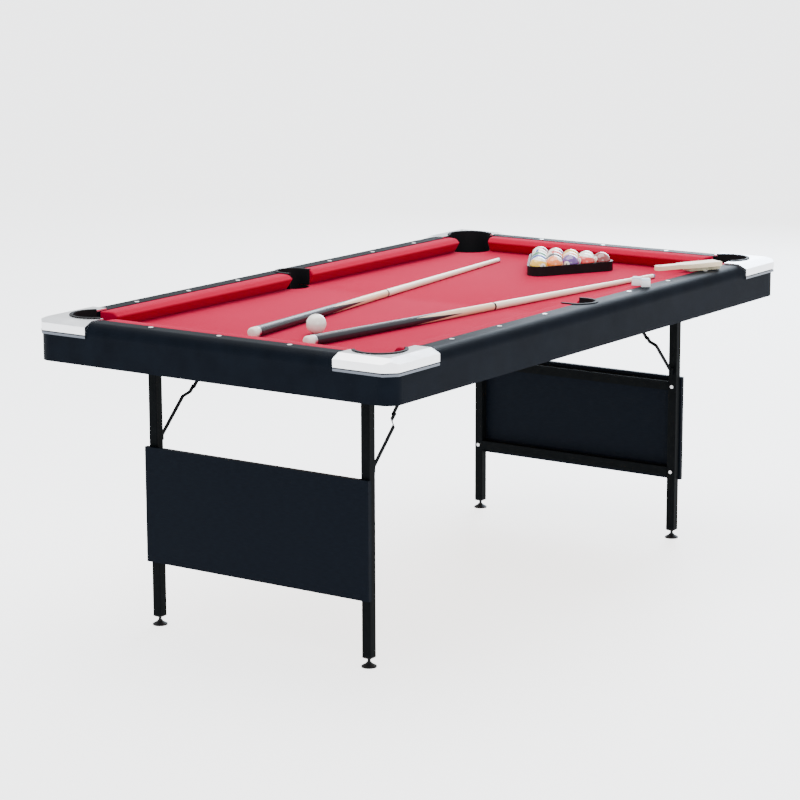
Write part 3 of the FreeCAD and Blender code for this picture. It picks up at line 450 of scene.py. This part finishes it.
def make_bed_cloth(finish):
    """One stretched sheet, cut round the pockets and turned down over the board's edge there."""
    low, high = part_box("bed_cloth")
    bend = 0.040
    inset = 0.001
    corner_x = high.x - inset - bend
    corner_y = high.y - inset - bend
    outline = []
    for number, (sx, sy) in enumerate(((1, 1), (-1, 1), (-1, -1), (1, -1))):
        outline += arc((corner_x * sx, corner_y * sy), bend, 90 * number, 90 * number + 90, 8)
    build = bmesh.new()
    loops = []
    stop = 360 - 360 / HOLE_STEPS
    holes = [arc(middle, radius + 0.0012, 0, stop, HOLE_STEPS - 1) for middle, radius in pocket_spots()]
    for ring in [outline, *holes]:
        verts = [build.verts.new((x, y, high.z)) for x, y in ring]
        edges = [build.edges.new((a, b)) for a, b in zip(verts, verts[1:] + verts[:1])]
        loops.append((verts, edges))
    every = [edge for _, edges in loops for edge in edges]
    bmesh.ops.triangle_fill(build, use_beauty=True, edges=every, normal=(0, 0, 1))
    for (verts, _), (middle, radius) in zip(loops[1:], pocket_spots()):
        above = verts
        for out, drop in ((0.0006, 0.0002), (0.0002, 0.0006), (0.0, 0.0014), (0.0, 0.0060)):
            below = []
            for vert in verts:
                away = Vector((vert.co.x - middle.x, vert.co.y - middle.y, 0)).normalized()
                spot = Vector((middle.x, middle.y, high.z - drop)) + away * (radius + out)
                below.append(build.verts.new(spot))
            for number in range(len(verts)):
                following = (number + 1) % len(verts)
                build.faces.new((above[number], above[following], below[following], below[number]))
            above = below
    bmesh.ops.recalc_face_normals(build, faces=build.faces)
    mesh = bpy.data.meshes.new("bed_cloth_sheet")
    build.to_mesh(mesh)
    build.free()
    mesh.shade_smooth()
    mesh.materials.append(finish.material)
    sheet = placed("bed_cloth_sheet", mesh)
    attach(sheet, "table")
    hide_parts("bed_cloth")


# ---------------------------------------------------------------- pocket rims
def swept(name, path, outline, finish):
    """A strip along a path of (spot, outward) pairs. Outline holds (outward, height) pairs."""
    points = []
    for spot, outward in path:
        for out, height in outline:
            points.append((spot.x + outward.x * out, spot.y + outward.y * out, height))
    faces = tube_faces(len(path), len(outline))
    piece(name, points, faces, finish, "table")


def rim_outline(foot, seat):
    """A thin wall from foot up to seat, with a flat lip on top that has a soft edge."""
    inside, wall, reach, soft, thick = -0.0033, -0.0001, 0.0050, 0.0008, 0.0025
    return [(inside, foot), (wall, foot), (wall, seat), (reach, seat), (reach, seat + thick - soft),
            (reach - soft, seat + thick), (inside + soft, seat + thick), (inside, seat + thick - soft)]


def make_pocket_rims(finish):
    """Lips round the pockets, and cheeks that line the cushions' ends at the side pockets."""
    rail_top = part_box("side_rail_left")[1].z
    cap_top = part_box("corner_caps")[1].z
    cloth_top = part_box("bed_cloth")[1].z
    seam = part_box("end_rail_far")[0].x
    spots = pocket_spots()
    for number, (middle, _) in enumerate(spots[:4]):
        turn = math.degrees(math.atan2(math.copysign(1, middle.y), math.copysign(1, middle.x)))
        spread = 45 + math.degrees(math.acos((seam - abs(middle.x)) / CORNER_CUP))
        path = []
        for x, y in arc(middle, CORNER_CUP, turn - spread, turn + spread, 48):
            spot = Vector((x, y, 0))
            path.append((spot, (spot - middle) / CORNER_CUP))
        swept(f"corner_rim_{number + 1}", path, rim_outline(rail_top, cap_top), finish)
    cheek = 0.024
    foot = cloth_top + 0.0004
    for number, (middle, _) in enumerate(spots[4:]):
        out = math.copysign(1, middle.y)
        start = Vector((SIDE_CUP, middle.y - cheek * out, 0))
        path = [(start, Vector((1, 0, 0)))]
        for x, y in arc(middle, SIDE_CUP, 0, 180 * out, 40):
            spot = Vector((x, y, 0))
            path.append((spot, (spot - middle) / SIDE_CUP))
        path.append((Vector((-start.x, start.y, 0)), Vector((-1, 0, 0))))
        swept(f"side_rim_{number + 1}", path, rim_outline(foot, rail_top + 0.0001), finish)


# ---------------------------------------------------------------- cushions
def cushion_outline(reach, low, high):
    """(distance from the nose, height) round a cloth-covered rubber cushion, nose first."""
    nose_top = high - 0.0090
    nose_foot = nose_top - 0.0070
    crown = 0.0006
    outline = arc((0.0040, nose_top - 0.0035), 0.0040, 250, 110, 10)
    for step in range(1, 8):
        share = step / 8
        distance = 0.0030 + 0.0120 * share
        rise = 0.0008 + 0.0070 * math.sin(share * math.pi / 2)
        outline.append((distance, nose_top + rise))
    for step in range(9):
        share = step / 8
        distance = 0.0160 + (reach - 0.0190) * share
        outline.append((distance, high - crown + crown * math.sin(share * math.pi)))
    outline += arc((reach - 0.0030, high - 0.0036), 0.0030, 80, 0, 4)
    outline += arc((reach - 0.0020, low + 0.0020), 0.0020, 0, -90, 3)
    outline += arc((0.0220, low + 0.0020), 0.0020, -90, -150, 3)
    outline.append((0.0110, (low + nose_foot) / 2))
    return outline


def make_cushion(node, along, flares, finish):
    """A cushion in its CAD place. It runs along that axis, and its nose is shorter by the flares."""
    low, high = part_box(node)
    across = 1 - along
    outward = 1 if (low + high)[across] > 0 else -1
    nose = min(abs(low[across]), abs(high[across]))
    reach = high[across] - low[across]
    outline = cushion_outline(reach, low.z, high.z)
    middle = reach * 0.55
    level = (low.z + high.z) / 2 + 0.004
    soft = 0.0045
    eases = [math.radians(18 * step) for step in range(5, -1, -1)]
    rims = [(soft * (1 - math.sin(ease)), soft * (1 - math.cos(ease))) for ease in eases]
    rows = [(0.0, back, inset) for back, inset in rims]
    rows += [(step / 12, soft, 0.0) for step in range(1, 12)]
    rows += [(1.0, back, inset) for back, inset in reversed(rims)]
    points = []
    for share, back, inset in rows:
        for distance, height in outline:
            kept = 1 - inset / math.hypot(distance - middle, height - level)
            out = middle + (distance - middle) * kept
            spot = [0.0, 0.0, level + (height - level) * kept]
            start = low[along] + flares[0] * (1 - out / reach) + back
            stop = high[along] - flares[1] * (1 - out / reach) - back
            spot[along] = start + (stop - start) * share
            spot[across] = outward * (nose + out)
            points.append(spot)
    faces = tube_faces(len(rows), len(outline))
    cushion = piece(node + "_cloth", points, faces, finish, "table")
    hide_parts(node)


def make_cushions(finish):
    at_corner = 0.012
    at_side = 0.002
    for side in LEFT_RIGHT:
        make_cushion(f"cushion_far_{side}", 0, (at_side, at_corner), finish)
        make_cushion(f"cushion_near_{side}", 0, (at_corner, at_side), finish)
    for end in FAR_NEAR:
        make_cushion(f"cushion_{end}_end", 1, (at_corner, at_corner), finish)


# ---------------------------------------------------------------- cues
CUE_LENGTH = 1.410
CUE_JOINT = 0.706
BUTT_ROUND = 0.014
TIP_ROUND = 0.006
CUE_TURN = {"left": 7, "right": -7}


def cue_place(side):
    """Where a cue's own Z axis starts and points, from its butt's box."""
    low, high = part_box(f"cue_{side}_butt")
    turn = math.radians(CUE_TURN[side])
    edge = 0.003
    start_x = low.x + (BUTT_ROUND - 0.002) * abs(math.sin(turn))
    drop = BUTT_ROUND * math.cos(turn) - edge * abs(math.sin(turn))
    start_y = low.y + drop if turn > 0 else high.y - drop
    tilt = math.atan2(BUTT_ROUND - TIP_ROUND, CUE_LENGTH)
    lay = Matrix.Rotation(turn, 4, "Z") @ Matrix.Rotation(math.radians(90) + tilt, 4, "Y")
    return Matrix.Translation((start_x, start_y, low.z + BUTT_ROUND)) @ lay


def cue_round(height):
    return BUTT_ROUND + (TIP_ROUND - BUTT_ROUND) * height / CUE_LENGTH


def cue_part(side, name, spans, finish):
    """Part of a cue: spans holds (height, how much smaller than the plain taper)."""
    outline = [(height, cue_round(height) - less) for height, less in spans]
    return turned(f"cue_{side}_{name}", outline, finish, f"{side}_cue", cue_place(side))


def make_cue(side, looks):
    ring = 0.0003
    joint = CUE_JOINT
    bumper = [(0.000, 0.0050), (0.001, 0.0030), (0.003, 0.0014), (0.006, 0.0006), (0.020, 0.0004)]
    cue_part(side, "bumper", bumper, looks["bumper"])
    cap = [(0.0195, 0.0009), (0.0200, ring), (0.0290, ring), (0.0295, 0.0009)]
    cue_part(side, "butt_ring", cap, looks["collar"])
    wood = [(0.0290, 0.0008), (0.0296, 0.0001), (0.10, 0.0), (0.30, 0.0), (0.50, 0.0),
            (joint - 0.0040, 0.0), (joint - 0.0035, 0.0006)]
    butt = cue_part(side, "butt_wood", wood, looks["butt"])
    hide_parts(f"cue_{side}_butt")
    collar = [(joint - 0.0040, 0.0008), (joint - 0.0036, 0.0001), (joint - 0.0006, 0.0001),
              (joint, 0.0006), (joint + 0.0006, 0.0001), (joint + 0.0030, 0.0001),
              (joint + 0.0034, 0.0008)]
    cue_part(side, "joint_collar", collar, looks["ring"])
    shaft = [(joint + 0.0030, 0.0007), (joint + 0.0036, 0.0001), (0.90, 0.0), (1.10, 0.0),
             (1.30, 0.0), (CUE_LENGTH - 0.0305, 0.0), (CUE_LENGTH - 0.0300, 0.0005)]
    maple = cue_part(side, "shaft_wood", shaft, looks["shaft"])
    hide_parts(f"cue_{side}_shaft")
    ferrule = [(CUE_LENGTH - 0.0304, 0.0006), (CUE_LENGTH - 0.0300, 0.0), (CUE_LENGTH - 0.0075, 0.0),
               (CUE_LENGTH - 0.0070, 0.0004)]
    cue_part(side, "ferrule", ferrule, looks["ferrule"])
    tip = [(CUE_LENGTH - 0.0070, 0.0001), (CUE_LENGTH - 0.0040, 0.0), (CUE_LENGTH - 0.0020, 0.0006),
           (CUE_LENGTH - 0.0008, 0.0020), (CUE_LENGTH, 0.0042)]
    cue_part(side, "leather_tip", tip, looks["tip"])


# ---------------------------------------------------------------- balls
BALL_ROUND = 0.0254
BALL_BAND = 0.0140
BALL_SPOT = 0.0088
BALL_COLOURS = {
    1: (0.85, 0.52, 0.010), 2: (0.010, 0.045, 0.32), 3: (0.70, 0.018, 0.012), 4: (0.10, 0.020, 0.22),
    5: (0.90, 0.20, 0.010), 6: (0.006, 0.18, 0.060), 7: (0.22, 0.012, 0.014), 8: (0.010, 0.010, 0.012)}
RACK_ORDER = ((9,), (5, 2), (4, 8, 6), (11, 13, 3, 10), (7, 14, 1, 12, 15))


def ball_mesh(name, finish, body, place, around=64):
    """A ball turned from a half circle."""
    outline = []
    for step in range(1, around // 2):
        angle = math.pi * step / (around // 2)
        outline.append((-BALL_ROUND * math.cos(angle), BALL_ROUND * math.sin(angle)))
    points = [(0, 0, -BALL_ROUND), (0, 0, BALL_ROUND)]
    for height, radius in outline:
        for step in range(around):
            turn = 2 * math.pi * step / around
            points.append((radius * math.cos(turn), radius * math.sin(turn), height))
    faces = [tuple(corner + 2 for corner in face) for face in ring_faces(len(outline), around)]
    last = 2 + (len(outline) - 1) * around
    for step in range(around):
        following = (step + 1) % around
        faces.append((0, 2 + following, 2 + step))
        faces.append((1, last + step, last + following))
    return piece(name, points, faces, finish, body, place, smooth_below=180)


def ball_number(number, place, finish):
    """The figures in a ball's white spots, laid on its round face."""
    words = bpy.data.curves.new(f"ball_{number}_figures", "FONT")
    words.body = str(number)
    words.align_x = "CENTER"
    words.align_y = "CENTER"
    words.size = 0.0105
    words.resolution_u = 3
    writing = bpy.data.objects.new(f"ball_{number}_writing", words)
    flat = bpy.data.meshes.new_from_object(writing)
    build = bmesh.new()
    build.from_mesh(flat)
    bmesh.ops.subdivide_edges(build, edges=build.edges, cuts=1, use_grid_fill=True)
    proud = BALL_ROUND + 0.00006
    other_side = build.verts[:]
    copied = bmesh.ops.duplicate(build, geom=build.verts[:] + build.edges[:] + build.faces[:])
    copies = [item for item in copied["geom"] if isinstance(item, bmesh.types.BMVert)]
    for verts, side in ((other_side, 1), (copies, -1)):
        for vert in verts:
            across, up = vert.co.x, vert.co.y
            depth = math.sqrt(proud * proud - across * across - up * up)
            vert.co = Vector((depth * side, across * side, up))
    build.to_mesh(flat)
    build.free()
    bpy.data.objects.remove(writing)
    bpy.data.curves.remove(words)
    flat.materials.clear()
    flat.materials.append(finish.material)
    figures = placed(f"ball_{number}_figures", flat)
    figures.matrix_world = place
    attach(figures, "racked_balls")


def make_balls(ink):
    low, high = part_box("cue_ball")
    ivory = ball_resin("ivory_resin", (0.86, 0.84, 0.76), False, numbered=False)
    middle = (low + high) / 2
    white = ball_mesh("white_ball_resin", ivory, "white_ball", Matrix.Translation(middle))
    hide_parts("cue_ball")

    low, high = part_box("object_balls")
    pitch = (high.y - low.y - 2 * BALL_ROUND) / 4
    row_step = pitch * math.sqrt(3) / 2
    start = Vector((low.x + BALL_ROUND, (low.y + high.y) / 2, (low.z + high.z) / 2))
    for row, numbers in enumerate(RACK_ORDER):
        for order, number in enumerate(numbers):
            spot = start + Vector((row_step * row, pitch * (order - row / 2), 0))
            roll = Matrix.Rotation(math.radians(47 * number % 360), 4, "Z")
            tip = Matrix.Rotation(math.radians(29 * number % 70 - 35), 4, "X")
            nod = Matrix.Rotation(math.radians(37 * number % 90 - 60), 4, "Y")
            place = Matrix.Translation(spot) @ roll @ tip @ nod
            colour = BALL_COLOURS[number if number < 9 else number - 8]
            resin = ball_resin(f"ball_{number}_resin", colour, number > 8)
            ball = ball_mesh(f"ball_{number}", resin, "racked_balls", place)
            ball_number(number, place, ink)
            if number == 1:
                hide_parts("object_balls")


# ---------------------------------------------------------------- chalk and brush
CHALK_SIDE = 0.022


def make_chalk(paper, chalk):
    """Two chalk cubes: a paper jacket round pressed chalk with a worn hollow on top."""
    low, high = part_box("chalk_cubes")
    half = CHALK_SIDE / 2
    for number, (turn, corner, side) in enumerate(((38, low, 1), (18, high, -1))):
        angle = math.radians(turn)
        reach = half * (math.cos(angle) + math.sin(angle))
        spot = Vector((corner.x + reach * side, corner.y + reach * side, low.z))
        place = Matrix.Translation(spot) @ Matrix.Rotation(angle, 4, "Z")
        jacket = (half + 0.0002, 0.0001, CHALK_SIDE * 0.80, 0.0006, 0.0)
        cube = chalk_block(f"chalk_{number + 1}", half, 0.0, CHALK_SIDE, 0.0008, 0.0035, chalk, place)
        chalk_block(f"chalk_jacket_{number + 1}", *jacket, paper, place)
        if number == 0:
            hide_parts("chalk_cubes")


CHALK_CUTS = 14


def chalk_block(name, half, foot, top, edge, hollow, finish, place):
    """A square block with soft edges and, if wanted, a hollow worn into its top."""
    build = bmesh.new()
    bmesh.ops.create_grid(build, x_segments=CHALK_CUTS, y_segments=CHALK_CUTS, size=half - edge)
    for vert in build.verts:
        spread = min(1.0, math.hypot(vert.co.x, vert.co.y) / (half * 0.85))
        vert.co.z = top - hollow * math.cos(spread * math.pi / 2)
    rim = [item for item in build.edges if item.is_boundary]
    for grow, height in ((edge * 0.7, top - edge * 0.3), (edge, top - edge), (edge, foot + edge),
                         (edge * 0.7, foot + edge * 0.3), (0.0, foot)):
        made = bmesh.ops.extrude_edge_only(build, edges=rim)["geom"]
        verts = [item for item in made if isinstance(item, bmesh.types.BMVert)]
        for vert in verts:
            for axis in (0, 1):
                if abs(vert.co[axis]) > half - edge - 1e-6:
                    vert.co[axis] = math.copysign(half - edge + grow, vert.co[axis])
            vert.co.z = height
        rim = [item for item in made if isinstance(item, bmesh.types.BMEdge)]
    bmesh.ops.contextual_create(build, geom=rim)
    points = [tuple(vert.co) for vert in build.verts]
    build.verts.index_update()
    faces = [tuple(vert.index for vert in face.verts) for face in build.faces]
    build.free()
    return piece(name, points, faces, finish, "chalk", place)


BRUSH_LENGTH = 0.205
BRUSH_HEAD = 0.044
BRUSH_TURN = -26
TUFT_ROUND = 0.0017
HAIR_SPLAY = 0.0016
HAIRS_IN_TUFT = 16


def make_brush_tufts(hair):
    """Rows of bristles, each a bundle of thin tapered hairs that splay a little."""
    low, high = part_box("brush_handle")
    angle = math.radians(BRUSH_TURN)
    half = BRUSH_HEAD / 2
    x = high.x - BRUSH_LENGTH * math.cos(angle) + half * math.sin(angle)
    y = low.y - BRUSH_LENGTH * math.sin(angle) + half * math.cos(angle)
    foot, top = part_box("brush_bristles")
    place = Matrix.Translation((x, y, foot.z)) @ Matrix.Rotation(angle, 4, "Z")
    height = top.z - foot.z
    chance = np.random.default_rng(7)
    points = []
    faces = []
    for along in np.arange(0.104, 0.201, 0.0046):
        for across in np.arange(-0.0175, 0.0180, 0.0050):
            for _ in range(HAIRS_IN_TUFT):
                turn = chance.uniform(0, 2 * math.pi)
                away = TUFT_ROUND * math.sqrt(chance.uniform())
                root = Vector((along + away * math.cos(turn), across + away * math.sin(turn), height))
                lean_x = chance.uniform(-HAIR_SPLAY, HAIR_SPLAY)
                lean = Vector((lean_x, chance.uniform(-HAIR_SPLAY, HAIR_SPLAY), 0))
                end = root + lean - Vector((0, 0, height * chance.uniform(0.93, 1.0)))
                first = len(points)
                for spot, thick in ((root, 0.00022), (end, 0.00014)):
                    for corner in range(3):
                        way = 2 * math.pi * corner / 3
                        points.append(spot + Vector((thick * math.cos(way), thick * math.sin(way), 0)))
                for corner in range(3):
                    a = first + corner
                    b = first + (corner + 1) % 3
                    faces.append((a, b, b + 3, a + 3))
                faces.append((first + 3, first + 4, first + 5))
    tufts = piece("brush_tufts", points, faces, hair, "brush", place)
    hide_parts("brush_bristles")


# ---------------------------------------------------------------- floor, lights and camera
def soft_light(name, place, aim, width, depth, power, colour=(1, 1, 1)):
    lamp = bpy.data.lights.new(name, "AREA")
    lamp.shape = "RECTANGLE"
    lamp.size = width
    lamp.size_y = depth
    lamp.energy = power
    lamp.color = colour
    thing = placed(name, lamp)
    thing.location = place
    thing.rotation_euler = (Vector(aim) - Vector(place)).to_track_quat("-Z", "Y").to_euler()


def make_floor():
    mesh = bpy.data.meshes.new("studio_floor")
    reach = 60
    corners = [(-reach, -reach, 0), (reach, -reach, 0), (reach, reach, 0), (-reach, reach, 0)]
    mesh.from_pydata(corners, [], [(0, 1, 2, 3)])
    floor = placed("studio_floor", mesh)
    pale = Finish("pale_floor")
    cloud = pale.noise(1.5, 2)
    pale.coloured(pale.mix(cloud, rgb(0.80, 0.80, 0.81), rgb(0.84, 0.84, 0.84)))
    pale.rough(0.60 + cloud * 0.1)
    pale.shader.inputs["Emission Color"].default_value = rgb(1.0, 1.0, 1.0)
    pale.shader.inputs["Emission Strength"].default_value = 2.2
    mesh.materials.append(pale.material)


def make_studio():
    world = bpy.data.worlds.new("studio")
    bpy.context.scene.world = world
    world.use_nodes = True
    world.node_tree.nodes["Background"].inputs["Color"].default_value = rgb(0.94, 0.97, 1.0)
    world.node_tree.nodes["Background"].inputs["Strength"].default_value = 1.6
    soft_light("overhead", (0.2, 0.3, 3.2), (0, 0, 0.7), 3.4, 2.4, 130)
    soft_light("far_window", (6.0, 1.8, 3.0), (0, 0, 0.8), 3.0, 3.2, 400, (0.76, 0.87, 1.0))
    soft_light("near_fill", (-3.2, -4.0, 2.6), (0, 0, 0.5), 2.4, 2.0, 40)


def make_camera():
    """The viewpoint, a little above the near right corner and well back."""
    yaw, pitch, roll = (math.radians(angle) for angle in (34.55, 11.54, -0.16))
    level = math.cos(pitch)
    forward = Vector((math.cos(yaw) * level, math.sin(yaw) * level, -math.sin(pitch)))
    right = Vector((math.sin(yaw), -math.cos(yaw), 0))
    up = right.cross(forward)
    rolled_right = right * math.cos(roll) + up * math.sin(roll)
    rolled_up = up * math.cos(roll) - right * math.sin(roll)
    lens = bpy.data.cameras.new("camera")
    lens.sensor_width = 36
    lens.lens = 120.8
    lens.clip_end = 100
    camera = placed("camera", lens)
    turn = Matrix((rolled_right, rolled_up, -forward)).transposed().to_4x4()
    camera.matrix_world = Matrix.Translation((-5.823, -3.910, 1.924)) @ turn
    bpy.context.scene.camera = camera


# ---------------------------------------------------------------- put together
cloth = table_cloth("red_cloth")
rail_foil = black_foil("rail_foil", (2, 2, 2))
panel_foil = black_foil("panel_foil", (1, 6, 30))
pocket_moulding = moulded_plastic("pocket_moulding", (0.0020, 0.0020, 0.0028), 0.50)
foot_moulding = moulded_plastic("foot_moulding", (0.0030, 0.0030, 0.0034), 0.42)
rack_moulding = moulded_plastic("rack_moulding", (0.0040, 0.0030, 0.0040), 0.34)
steel_coat = powder_coat("steel_coat")
zinc = zinc_plate("zinc")

paint(["side_rail_left", "side_rail_right", "end_rail_near", "end_rail_far", "corner_blocks"], rail_foil)
paint(["corner_caps"], bright_plate("cap_plate"))
paint(["rail_sights"], pearl_inlay("sight_pearl"))
paint(named("_pocket_"), pocket_moulding)
paint(["bed_board"], fibreboard("bed_fibreboard"))
paint(["bed_bearers"], sawn_wood("bearer_pine", (0.42, 0.27, 0.13), (0.66, 0.48, 0.28), (0.3, 6, 6)))
paint(["near_legs", "far_legs", "near_cross_tubes", "far_cross_tubes"], steel_coat)
paint(["near_brace_brackets", "far_brace_brackets"], steel_coat)
paint(named("brace_lower") + named("brace_upper"), steel_coat)
paint(["hinge_brackets", "hinge_rods", "brace_hangers", "bracket_screws"], zinc)
paint(["near_panel_bolts", "far_panel_bolts"], zinc)
paint(["near_panel", "far_panel"], panel_foil)
paint(["near_leg_plugs", "far_leg_plugs"] + [f"foot_{corner}" for corner in CORNERS], foot_moulding)
paint(["triangle_rack"], rack_moulding)
paint(["brush_handle"], sawn_wood("brush_beech", (0.62, 0.46, 0.28), (0.82, 0.68, 0.48), (3, 8, 8), 0.38))

make_bed_cloth(cloth)
make_pocket_rims(pocket_moulding)
make_cushions(cloth)
cue_looks = {
    "bumper": moulded_plastic("bumper_rubber", (0.62, 0.60, 0.54), 0.55),
    "butt": cue_butt_lacquer("butt_lacquer"),
    "collar": zinc_plate("butt_ring_plate"),
    "ring": moulded_plastic("joint_collar_black", (0.010, 0.010, 0.012), 0.22),
    "shaft": cue_maple("shaft_maple"),
    "ferrule": moulded_plastic("ferrule_ivory", (0.78, 0.75, 0.66), 0.30),
    "tip": moulded_plastic("tip_leather", (0.050, 0.16, 0.30), 0.80)}
for side in LEFT_RIGHT:
    make_cue(side, cue_looks)
make_balls(moulded_plastic("figure_ink", (0.010, 0.010, 0.010), 0.30))
chalk_paper = moulded_plastic("chalk_paper", (0.70, 0.72, 0.74), 0.70)
chalk_cake = moulded_plastic("chalk_cake", (0.55, 0.68, 0.80), 0.90)
make_chalk(chalk_paper, chalk_cake)
make_brush_tufts(moulded_plastic("bristle_hair", (0.72, 0.66, 0.50), 0.55))
make_floor()
make_studio()
make_camera()
